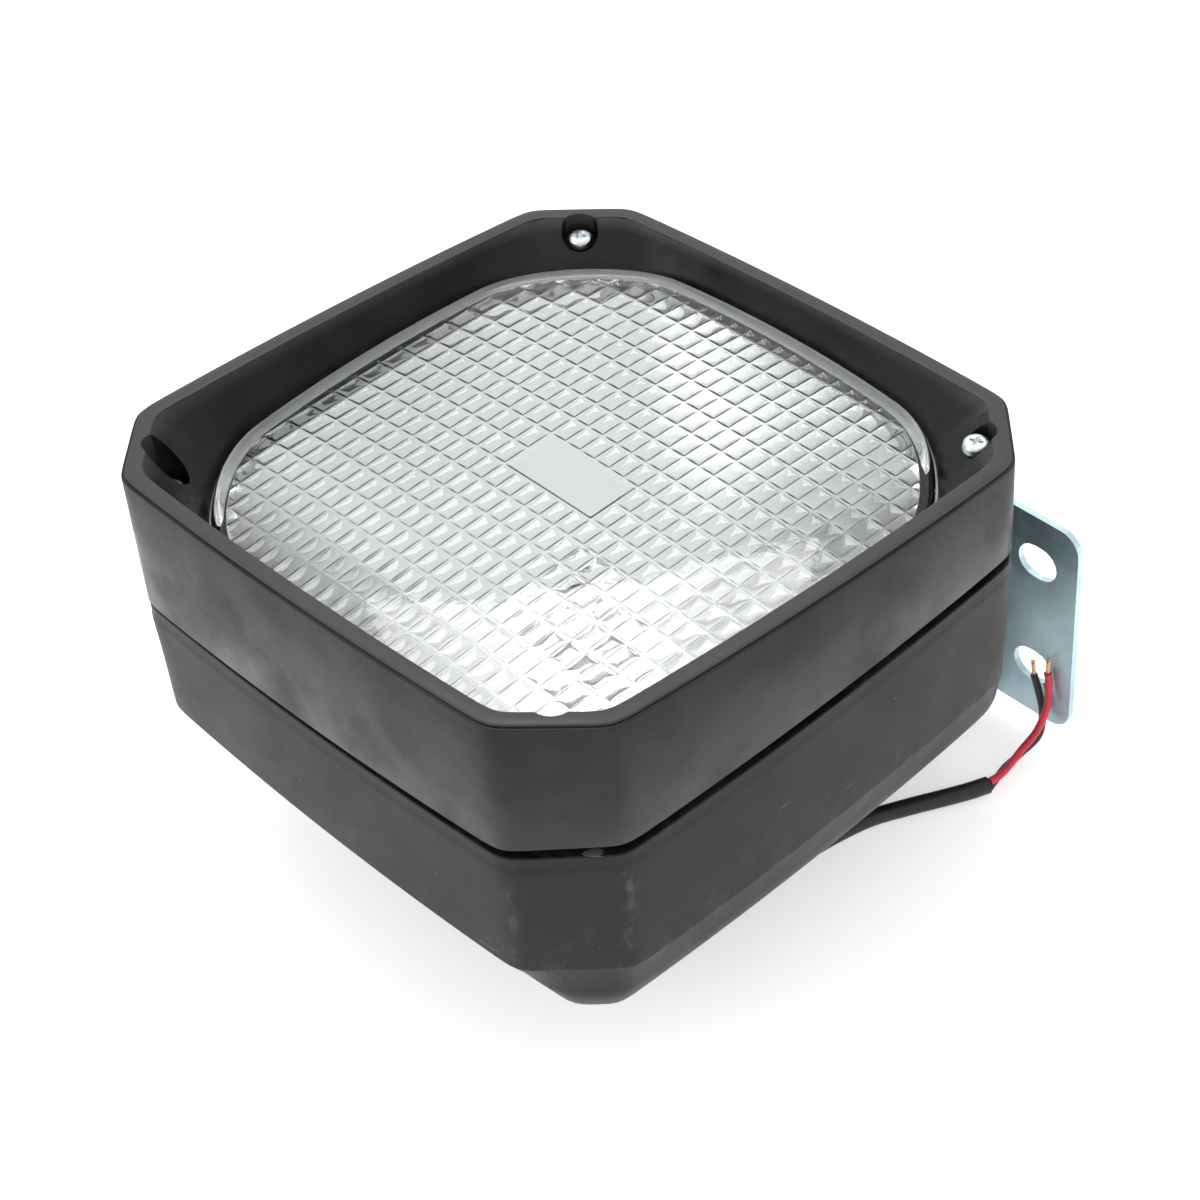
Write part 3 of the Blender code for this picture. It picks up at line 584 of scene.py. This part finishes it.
def add_studio():
    """A pale floor that glows a little, so that it reads white, an even sky and two soft panels."""
    sheet = bpy.data.meshes.new("floor")
    floor_corners = [(x * FLOOR_REACH, y * FLOOR_REACH, 0) for x, y in ((-1, -1), (1, -1), (1, 1), (-1, 1))]
    sheet.from_pydata(floor_corners, [], [(0, 1, 2, 3)])
    floor = link(bpy.data.objects.new("floor", sheet))
    nodes = Nodes("floor", (0.90, 0.90, 0.90), 0.8)
    nodes.set("Specular IOR Level", 0.1)
    nodes.set("Emission Color", (1.0, 1.0, 1.0, 1.0))
    nodes.set("Emission Strength", 0.5)
    floor.data.materials.append(nodes.material)
    floor.location.z = CAD_BOX[0][2] - 0.0002
    world = bpy.data.worlds.new("studio")
    world.use_nodes = True
    sky = world.node_tree.nodes["Background"]
    sky.inputs["Color"].default_value = (1.0, 1.0, 1.0, 1.0)
    sky.inputs["Strength"].default_value = 0.90
    bpy.context.scene.world = world
    add_light("back", (-0.50, 0.42, 1.25), (0.55, 0.55), 5)
    add_light("front", (-0.5, -1.2, 0.6), (0.9, 0.7), 3)
    bpy.context.scene.view_settings.view_transform = "Standard"



def cable_piece(name, route, radius, look, count):
    points = smooth_route(route, count)
    curve = bpy.data.curves.new(name, "CURVE")
    curve.dimensions = "3D"
    curve.bevel_depth = radius
    curve.bevel_resolution = 8
    curve.use_fill_caps = True
    spline = curve.splines.new("POLY")
    spline.points.add(len(points) - 1)
    for target, point in zip(spline.points, points):
        target.co = (*point, 1.0)
    spline.use_smooth = True
    curve.materials.append(look)
    piece = place(name, curve, "bracket")
    return piece, points


def strands(name, start, tip, radius, look):
    """A short bundle of bare copper, twisted and a little splayed at its end."""
    start, tip = np.array(start), np.array(tip)
    ahead = (tip - start) / np.linalg.norm(tip - start)
    side = np.cross(ahead, (1.0, 0.2, 0.1))
    side /= np.linalg.norm(side)
    other = np.cross(ahead, side)
    curve = bpy.data.curves.new(name, "CURVE")
    curve.dimensions = "3D"
    curve.bevel_depth = radius * 0.30
    curve.bevel_resolution = 2
    curve.use_fill_caps = True
    for number in range(9):
        phase = number / 8 * math.tau
        out = 0.0 if number == 8 else radius * 0.62
        reach = 0.86 + 0.14 * math.cos(2.3 * number)
        spline = curve.splines.new("POLY")
        spline.points.add(7)
        for step, target in enumerate(spline.points):
            along = step / 7 * reach
            turn = phase + along * 2.6
            spread = out * (1 + 0.12 * along)
            offset = side * math.cos(turn) * spread + other * math.sin(turn) * spread
            point = start + (tip - start) * along + offset
            target.co = (*point, 1.0)
    curve.materials.append(look)
    return place(name, curve, "bracket")


def add_cable():
    black = rubber("sheath_rubber", (0.013, 0.013, 0.014), 0.42)
    sheath, points = cable_piece("cable_sheath_skin", SHEATH_ROUTE, SHEATH_RADIUS, black, 60)
    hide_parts("cable_sheath")
    copper = metal("copper", (0.86, 0.48, 0.30), 0.32)
    for name, route, tip, colour in (
        ("red", RED_ROUTE, RED_TIP, (0.56, 0.022, 0.05)),
        ("black", BLACK_ROUTE, BLACK_TIP, (0.014, 0.016, 0.016)),
    ):
        look = rubber(f"core_{name}", colour, 0.38)
        core, points = cable_piece(f"core_{name}_skin", route, CORE_RADIUS, look, 40)
        start = points[-1] - (points[-1] - points[-2]) * 0.2
        ends = strands(f"copper_{name}", start, tip, STRIPPED_RADIUS, copper)
        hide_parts(f"core_{name}")
        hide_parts(f"conductor_{name}")


# Lamp shells


def add_bezel():
    """The front frame: rounded wall, stepped rim, slope down to the glass, pockets for the screws."""
    sides = 480
    edge = 0.00035

    def low(x, y):
        return BEZEL_LOW + BEZEL_LOW_SLOPE * x

    def shifted(height, by):
        return lambda x, y: height(x, y) + by

    outer = [
        (SKIRT, shifted(low, 0.0)),
        (edge, shifted(low, 0.0)),
        (0.0001, shifted(low, 0.00010)),
        (0.0, shifted(low, edge)),
        (0.0, shifted(rim_height, -RIM_STEP - edge)),
        (0.00010, shifted(rim_height, -RIM_STEP - 0.00010)),
        (edge, shifted(rim_height, -RIM_STEP)),
        (RIM_STEP - 0.0001, shifted(rim_height, -RIM_STEP)),
        (RIM_STEP, shifted(rim_height, -RIM_STEP + 0.0001)),
        (RIM_STEP, shifted(rim_height, -edge)),
        (RIM_STEP + 0.00010, shifted(rim_height, -0.00010)),
        (RIM_STEP + edge, shifted(rim_height, 0.0)),
        (RIM_WIDTH - edge, shifted(rim_height, 0.0)),
        (RIM_WIDTH - 0.0001, shifted(rim_height, -0.00008)),
    ]
    rings = [at_height(octagon(sides, inset, rounding=95), height) for inset, height in outer]
    inner_outline = octagon(sides, RIM_WIDTH, crown=CROWN * 1.1, rounding=260)
    inner_rim = at_height(inner_outline, shifted(rim_height, -0.0003))
    glass_edge = at_height(lens_outline(sides), LIP_TOP)
    rings.append(inner_rim)
    for share in (0.25, 0.5, 0.75, 0.96):
        rings.append(inner_rim + (glass_edge - inner_rim) * share)
    rings.append(at_height(lens_outline(sides), LIP_TOP - 0.0004))
    rings.append(at_height(lens_outline(sides), LIP_LOW))
    rings.append(at_height(octagon(sides, SKIRT), LIP_LOW))
    bezel = place("bezel_shell", loft(rings, joined=True, sharp=35), "lamp")
    cuts = []
    for at in corners():
        seat = screw_seat(at)
        cuts.append(post(at, POCKET_RADIUS, seat, 0.014, 64))
        cuts.append(post(at, SCREW_RADIUS + 0.0003, LIP_LOW - OVERCUT, seat + OVERCUT))
    combine(bezel, "DIFFERENCE", cuts)
    bezel.data.materials.clear()
    bezel.data.materials.append(bezel_plastic())
    points = np.array([v.co for v in bezel.data.vertices])
    height = points[:, 2] - rim_height(points[:, 0], points[:, 1])
    # Marks the rim's top face and its edges, which the plastic paints lighter as a painted sheen.
    mark_points(bezel, "rim_painted_sheen", np.abs(height) < 0.0004)
    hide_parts("front_bezel")


def mark_points(piece, name, amounts):
    layer = piece.data.attributes.new(name, "FLOAT", "POINT")
    layer.data.foreach_set("value", amounts.astype(np.float32))


def band(values, middle, width):
    """1 at the middle, falling away softly on both sides."""
    return np.exp(-(((values - middle) / width) ** 2))


def shoulder(x, y=0.0):
    return SHOULDER + SHOULDER_SLOPE * x


def housing_wear(piece):
    """Marks where the shell is rubbed: its eight upright edges, the crease and the shoulder."""
    points = np.array([v.co for v in piece.data.vertices])
    bearing = np.degrees(np.arctan2(np.abs(points[:, 1]), np.abs(points[:, 0])))
    wear = np.zeros(len(points))
    on_wall = points[:, 2] > CREASE - 0.004
    for edge in WALL_EDGES:
        wear = np.maximum(wear, band(bearing, edge, 0.9) * on_wall)
    wear = np.maximum(wear, 0.8 * band(points[:, 2], CREASE, 0.0006))
    wear = np.maximum(wear, 0.35 * band(points[:, 2], shoulder(points[:, 0]), 0.0005))
    mark_points(piece, "wear", wear)


def add_housing():
    """The rear shell: rounded pan, crease, a soft lip under the shoulder, spigot and hollow."""
    sides = 384

    def below(by):
        return lambda x, y: shoulder(x) - by

    steps = [(CREASE_INSET, CREASE), *PAN_STEPS]
    fine = fillet_profile(steps, 0.004, 4)
    rings = []
    for inset, z in fine[:0:-1]:
        share = min(1.0, (CREASE - z) / 0.012)
        chamfer = CHAMFER + (PAN_CHAMFER - CHAMFER) * share
        extra = PAN_SIDE_EXTRA * share
        rings.append(at_height(octagon(sides, inset, chamfer=chamfer, extra_y=extra, rounding=120), z))
    rings += [
        at_height(octagon(sides, CREASE_INSET + 0.0002), CREASE - 0.0004),
        at_height(octagon(sides, CREASE_INSET), CREASE),
        at_height(octagon(sides, CREASE_INSET - 0.00005), CREASE + 0.0005),
        at_height(octagon(sides, CREASE_INSET * 0.5), CREASE / 2 + SHOULDER / 2),
        at_height(octagon(sides, 0.0), below(SHOULDER_LIP + 0.0009)),
        at_height(octagon(sides, 0.00003), below(SHOULDER_LIP)),
        at_height(octagon(sides, 0.00015), below(SHOULDER_LIP - 0.0008)),
        at_height(octagon(sides, 0.00020), below(SHOULDER_LIP - 0.0018)),
        at_height(octagon(sides, 0.00022), below(0.0004)),
        at_height(octagon(sides, 0.00045), below(0.0001)),
        at_height(octagon(sides, 0.0009), shoulder),
        at_height(octagon(sides, SPIGOT_INSET), shoulder),
        at_height(octagon(sides, SPIGOT_INSET), SPIGOT_TOP),
        at_height(lens_outline(sides, -0.0022), SPIGOT_TOP),
        at_height(lens_outline(sides, -0.0022), SPIGOT_TOP - LEDGE),
        at_height(octagon(sides, SPIGOT_INSET + WALL), SPIGOT_TOP - LEDGE),
        at_height(octagon(sides, SPIGOT_INSET + WALL), SHOULDER - 0.0045),
        at_height(octagon(sides, WALL), SHOULDER - 0.0075),
        at_height(octagon(sides, CREASE_INSET + WALL), CREASE),
    ]
    for inset, z in PAN_STEPS:
        ring = octagon(sides, inset + WALL, chamfer=PAN_CHAMFER, extra_y=PAN_SIDE_EXTRA)
        rings.append(at_height(ring, z + WALL))
    housing = place("housing_shell", loft(rings, sharp=28), "lamp")
    boss_top = PAN_LOW + OVERCUT
    boss = [(-BOSS_RADIUS, PIVOT_Z), (BOSS_RADIUS, PIVOT_Z)]
    boss += [(BOSS_RADIUS, boss_top), (-BOSS_RADIUS, boss_top)]
    block = prism(boss, -BOSS_HALF, BOSS_HALF, 0)
    barrel = prism(circle(BOSS_RADIUS, 64, (0, PIVOT_Z)), -BOSS_HALF, BOSS_HALF, 0)
    combine(housing, "UNION", [block, barrel])
    bore = prism(circle(BOSS_BORE, 48, (0, PIVOT_Z)), -BOSS_HALF - OVERCUT, BOSS_HALF + OVERCUT, 0)
    cable_hole = post((GLAND_X, 0), GLAND_HOLE, PAN_LOW - OVERCUT, PAN_LOW + WALL + OVERCUT)
    combine(housing, "DIFFERENCE", [bore, cable_hole])
    housing.data.materials.clear()
    housing.data.materials.append(housing_plastic())
    housing_wear(housing)
    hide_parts("rear_housing")


# Glass


def pillow(x, y):
    """How far the inner face is raised: soft pillows between flat ribs, round a plain panel."""
    across = np.abs(2 * (x / FLUTE_STEP - np.floor(x / FLUTE_STEP)) - 1)
    along = np.abs(2 * (y / FLUTE_ROW - np.floor(y / FLUTE_ROW)) - 1)
    across = np.clip(across / (1 - 2 * RIB_ACROSS / FLUTE_STEP), 0, 1)
    along = np.clip(along / (1 - 2 * RIB_ALONG / FLUTE_ROW), 0, 1)
    raised = FLUTE_DEPTH * (1 - across**2.6) * (1 - along**4)
    raised += FLUTE_STEP_IN * np.clip((1 - across) / 0.08, 0, 1) * np.clip((1 - along) / 0.08, 0, 1)
    panel = np.maximum(np.abs(x) / (3 * FLUTE_STEP), np.abs(y) / FLUTE_ROW)
    border = np.clip((0.975 - panel) / 0.02, 0, 1)
    return np.where(panel < 1, FLUTE_DEPTH * border, raised)


def cell_marks(step, count, rib, fractions):
    """Grid lines across the cells, close together beside the ribs."""
    inner = rib + (step - 2 * rib) * np.array(fractions)
    return np.concatenate([number * step + np.array((0.0, *inner)) for number in range(-count, count)])


def fluted_face(reach_of, height):
    """Points and faces of the inner face, trimmed to its outline, and the border in order."""
    fractions = (0, 0.04, 0.1, 0.2, 0.35, 0.5, 0.65, 0.8, 0.9, 0.96, 1)
    xs = cell_marks(FLUTE_STEP, 16, RIB_ACROSS, fractions)
    ys = cell_marks(FLUTE_ROW, 11, RIB_ALONG, fractions)
    x, y = (grid.ravel() for grid in np.meshgrid(xs, ys))
    angle = np.arctan2(y, x)
    limit = reach_of(angle)
    beyond = np.hypot(x, y) >= limit
    x, y = (np.where(beyond, limit * trig(angle), value) for trig, value in ((np.cos, x), (np.sin, y)))
    corner = (np.arange(len(ys) - 1)[:, None] * len(xs) + np.arange(len(xs) - 1)).ravel()
    quads = np.stack((corner, corner + 1, corner + 1 + len(xs), corner + len(xs)), axis=1)
    quads = quads[~beyond[quads].all(axis=1)]
    used, quads = np.unique(quads, return_inverse=True)
    x, y, angle, beyond = x[used], y[used], angle[used], beyond[used]
    border = np.flatnonzero(beyond)
    border = border[np.argsort(angle[border])]
    points = np.stack((x, y, height(x, y)), axis=1)
    return points, quads.reshape(-1, 4).tolist(), border.tolist(), angle[border]


def add_lens():
    """The glass: domed front, fluted back, a flange that the bezel's lip holds."""

    def inner_reach(angle):
        return lens_reach(angle) - 0.0046

    def inner_height(x, y):
        share = np.hypot(x, y) / lens_reach(np.arctan2(y, x))
        return LENS_CENTRE - LENS_DOME * share**2 - LENS_THICK - pillow(x, y)

    points, faces, border, angle = fluted_face(inner_reach, inner_height)
    reach = lens_reach(angle)
    direction = np.stack((np.cos(angle), np.sin(angle)), axis=1)
    rings, count, layers = [border], len(points), [points]

    def add_ring(radius, z):
        nonlocal count
        flat = direction * np.asarray(radius).reshape(-1, 1)
        layers.append(np.column_stack((flat, np.broadcast_to(z, len(flat)))))
        rings.append(list(range(count, count + len(flat))))
        count += len(flat)

    add_ring(reach - 0.0040, LENS_LOW + 0.0006)
    add_ring(reach - 0.0036, LENS_LOW)
    add_ring(reach + LENS_FLANGE - 0.0003, LENS_LOW)
    add_ring(reach + LENS_FLANGE, LENS_LOW + 0.0003)
    add_ring(reach + LENS_FLANGE, LIP_LOW - 0.0006)
    add_ring(reach + LENS_FLANGE - 0.0003, LIP_LOW - 0.0003)
    add_ring(reach - 0.0005, LIP_LOW - 0.0003)
    shoulder_z = LENS_CENTRE - LENS_DOME * 0.93**2
    low_z = LIP_TOP - 0.0004
    for turn in np.radians((0, 15, 30, 45, 60, 75, 90)):
        drop = 1 - math.sin(turn)
        edge_z = shoulder_z - (shoulder_z - low_z) * drop
        add_ring(reach - 0.0005 - 0.0034 * (1 - math.cos(turn)), edge_z)
    for share in (0.93, 0.88, 0.8, 0.68, 0.55, 0.4, 0.25, 0.1):
        add_ring((reach - 0.0005) * share, LENS_CENTRE - LENS_DOME * share**2)
    for first, second in zip(rings, rings[1:]):
        for j in range(len(border)):
            after = (j + 1) % len(border)
            faces.append((first[j], first[after], second[after], second[j]))
    layers.append(np.array([[0.0, 0.0, LENS_CENTRE]]))
    for j, corner in enumerate(rings[-1]):
        faces.append((corner, rings[-1][(j + 1) % len(border)], count))
    lens = place("lens_glass", mesh_from(np.concatenate(layers), faces, sharp=50), "lamp")
    lens.data.materials.append(fluted_glass())
    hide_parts("lens")


def add_reflector():
    """The bright bowl behind the glass, smooth where the CAD's is faceted."""
    sides = 256
    shares = np.append(np.linspace(1.0, 0.2, 30), 0.012 / LENS_HALF)
    mouth = -0.0242
    angles = np.arange(sides) * math.tau / sides
    inside, outside = [], []
    for share in shares:
        square = (lens_reach(angles) - 0.0045) * share
        mix = share**1.5
        radius = square * mix + share * LENS_HALF * (1 - mix)
        z = mouth - 0.0500 * (1 - share**2)
        inside.append(at_height(polar(radius, angles), z))
        outside.append(at_height(polar(radius + 0.0009, angles), z - 0.0006))
    rings = [at_height(lens_outline(sides, 0.0020), z) for z in (mouth - 0.0009, mouth)]
    rings += inside
    for radius, z in ((0.012, -0.080), (0.020, -0.080), (0.020, -0.0789), (0.0131, -0.0789)):
        rings.append(at_height(circle(radius, sides), z))
    rings += outside[:0:-1]
    rings.append(outside[0])
    reflector = place("reflector_bowl", loft(rings, joined=True, sharp=40), "lamp")
    reflector.data.materials.append(mirror_coat())
    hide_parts("reflector")


# Screws


def cross_recess(at, top):
    """A tapered cross with a small second cross between its arms."""
    shapes = []
    broad, fine = (0.0020, 0.00105), (0.0013, 0.00040)
    for turn, (reach, width) in ((20, broad), (110, broad), (65, fine), (155, fine)):
        ahead = np.array((math.cos(math.radians(turn)), math.sin(math.radians(turn)))) * reach
        side = np.array((-math.sin(math.radians(turn)), math.cos(math.radians(turn)))) * width / 2
        ring = np.array((-ahead - side, ahead - side, ahead + side, -ahead + side))
        ends = ((top - 0.0013, 0.55), (top + 0.0004, 1.0))
        shapes.append(loft([at_height(np.array(at) + ring * grow, z) for z, grow in ends]))
    return shapes


def add_screws():
    """The four bezel screws: plain shank, low dome, cross recess."""
    look = metal("screw_zinc", (0.80, 0.85, 0.87), 0.30)
    for number, at in enumerate(corners(), 1):
        head = screw_seat(at) + 0.0003
        tip = screw_seat(at) - SCREW_LENGTH
        profile = [(SCREW_RADIUS * 0.6, tip), (SCREW_RADIUS, tip + 0.0012), (SCREW_RADIUS, head)]
        profile += [(HEAD_RADIUS - 0.0001, head), (HEAD_RADIUS, head + 0.0001)]
        profile.append((HEAD_RADIUS, head + HEAD_SIDE))
        for bearing in np.radians(range(15, 90, 15)):
            radius = HEAD_RADIUS * (0.68 + 0.32 * math.cos(bearing))
            profile.append((radius, head + HEAD_SIDE + (HEAD_HEIGHT - HEAD_SIDE) * math.sin(bearing)))
        profile.append((HEAD_RADIUS * 0.6, head + HEAD_HEIGHT))
        screw = place(f"screw_{number}", loft(turned(profile, 64, at), sharp=50), "lamp")
        combine(screw, "DIFFERENCE", cross_recess(at, head + HEAD_HEIGHT))
        screw.data.materials.clear()
        screw.data.materials.append(look)
        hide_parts(f"bezel_screw_{number}")


# CAD nodes that keep their shape


def finish_node(name, look, bevel=0.0, segments=3):
    node = frame["nodes"][name]
    node.data.materials.clear()
    node.data.materials.append(look)
    if bevel:
        modifier = node.modifiers.new("edges", "BEVEL")
        modifier.width = bevel
        modifier.segments = segments
        modifier.limit_method = "ANGLE"
        modifier.angle_limit = math.radians(40)


def add_node_looks():
    finish_node("bracket", zinc((0.62, 0.81, 0.88), 0.38), 0.0004)
    bolt = metal("bolt_zinc", (0.78, 0.80, 0.80), 0.25)
    for name in ("pivot_bolt", "pivot_nut", "washer_head", "washer_nut"):
        finish_node(name, bolt, 0.00025, 2)
    finish_node("pivot_bush", metal("bush_steel", (0.55, 0.55, 0.56), 0.35))
    finish_node("lens_gasket", rubber("pale_seal", (0.92, 0.94, 0.93), 0.4))
    finish_node("cable_gland", rubber("gland_rubber", (0.018, 0.018, 0.018), 0.6), 0.0003)
    finish_node("bulb_glass", clear_glass("quartz", (0.97, 0.985, 0.98), 0.015).material)
    finish_node("bulb_base", metal("bulb_metal", (0.74, 0.72, 0.68), 0.3))
    finish_node("bulb_clip", metal("spring_steel", (0.6, 0.6, 0.6), 0.3))
    finish_node("feed_lead", rubber("feed_red", (0.50, 0.02, 0.04)))
    finish_node("earth_lead", rubber("earth_black", (0.02, 0.02, 0.02)))
    tin = metal("tin", (0.78, 0.76, 0.72), 0.3)
    finish_node("feed_terminal", tin)
    finish_node("earth_terminal", tin)
    brass = metal("brass", (0.75, 0.55, 0.25), 0.3)
    for number in range(1, 5):
        finish_node(f"insert_{number}", brass)


add_camera()
add_cable()
add_studio()
add_bezel()
add_housing()
add_lens()
add_reflector()
add_screws()
add_node_looks()
